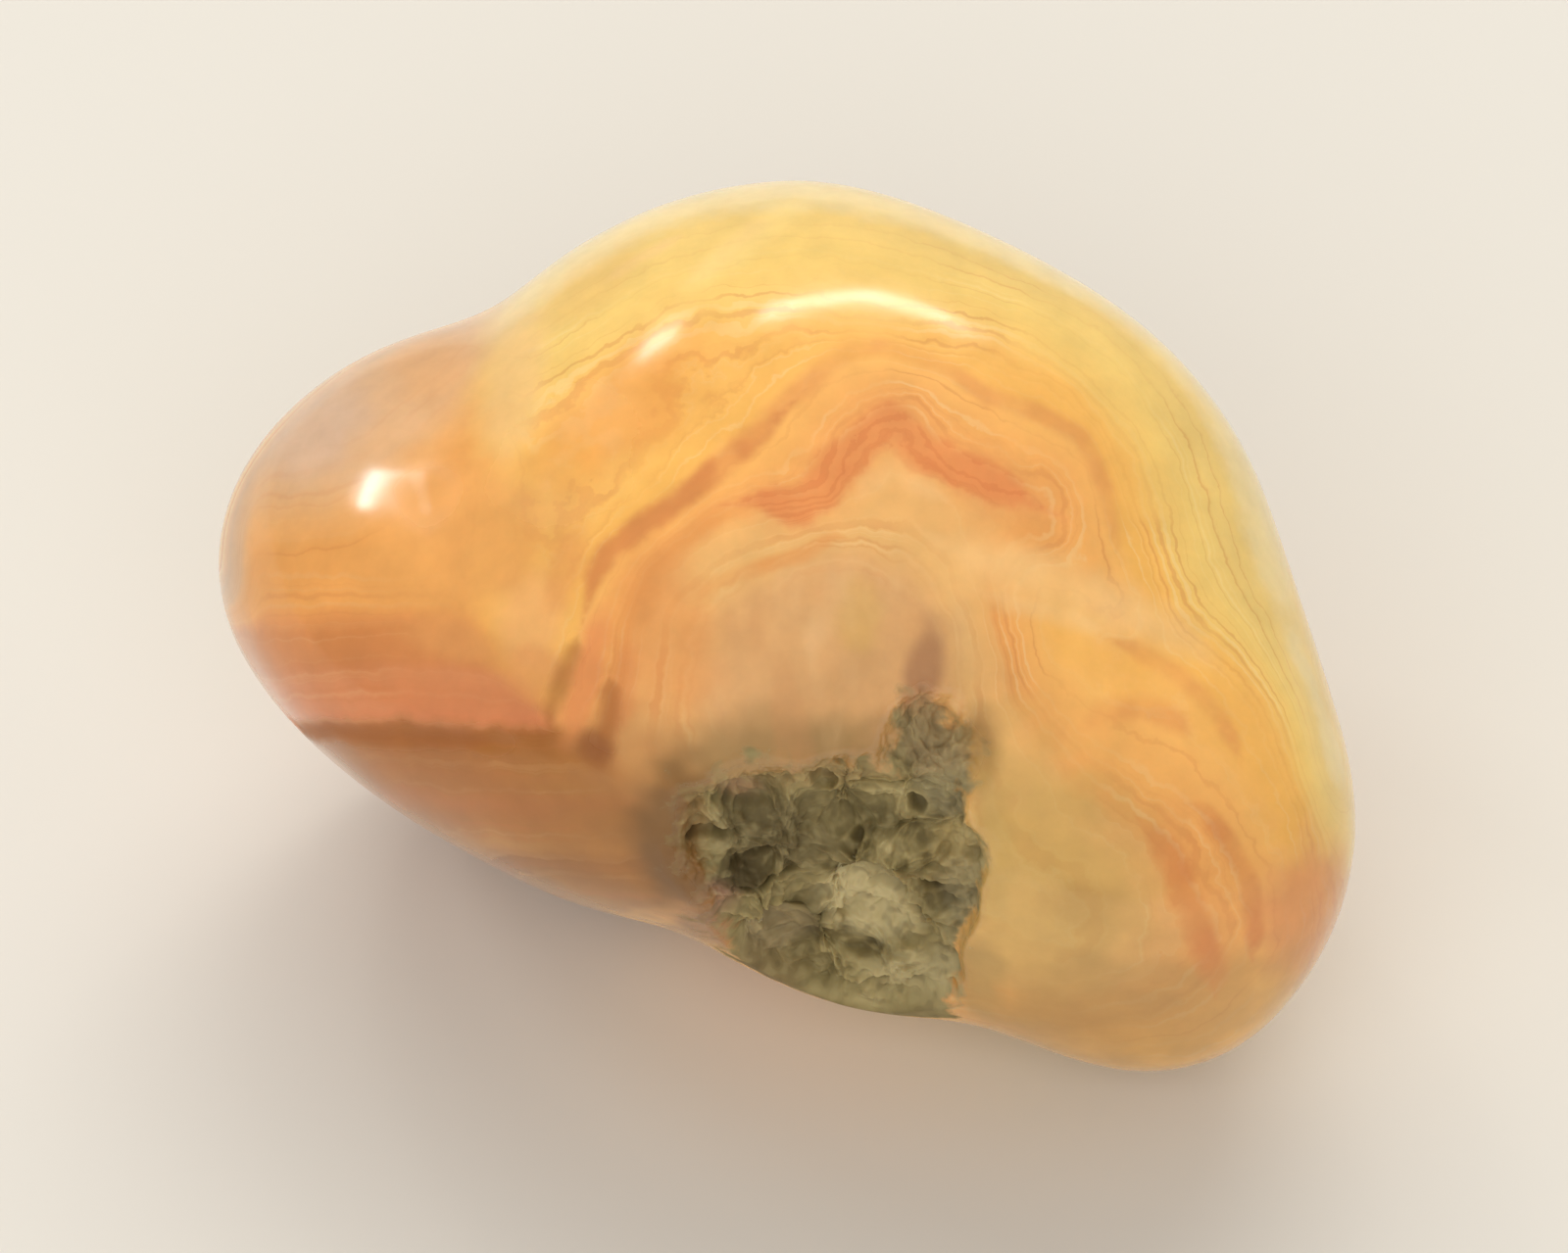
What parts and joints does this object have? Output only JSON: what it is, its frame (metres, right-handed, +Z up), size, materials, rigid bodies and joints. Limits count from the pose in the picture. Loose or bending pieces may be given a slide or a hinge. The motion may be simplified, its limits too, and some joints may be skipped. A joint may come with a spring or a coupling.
{
  "type": "tumbled agate pebble",
  "caption": "Tumbled crazy lace agate pebble with a domed top, a small side lobe, a low front lobe and a rough open hollow.",
  "frame": {"origin": "middle of the stone's outline seen from above, on the surface that it rests on", "axes": "+X along the stone towards its low front lobe, -Y towards the front with the rough hollow, +Z up from the flat side"},
  "size_m": [0.016, 0.0116, 0.0101],
  "materials": {
    "banded_agate": "tumble-polished banded agate, cream, yellow and orange, with a rough grey-green hollow"
  },
  "bodies": {
    "root": {"agate_pebble": "banded_agate"}
  },
  "joints": []
}
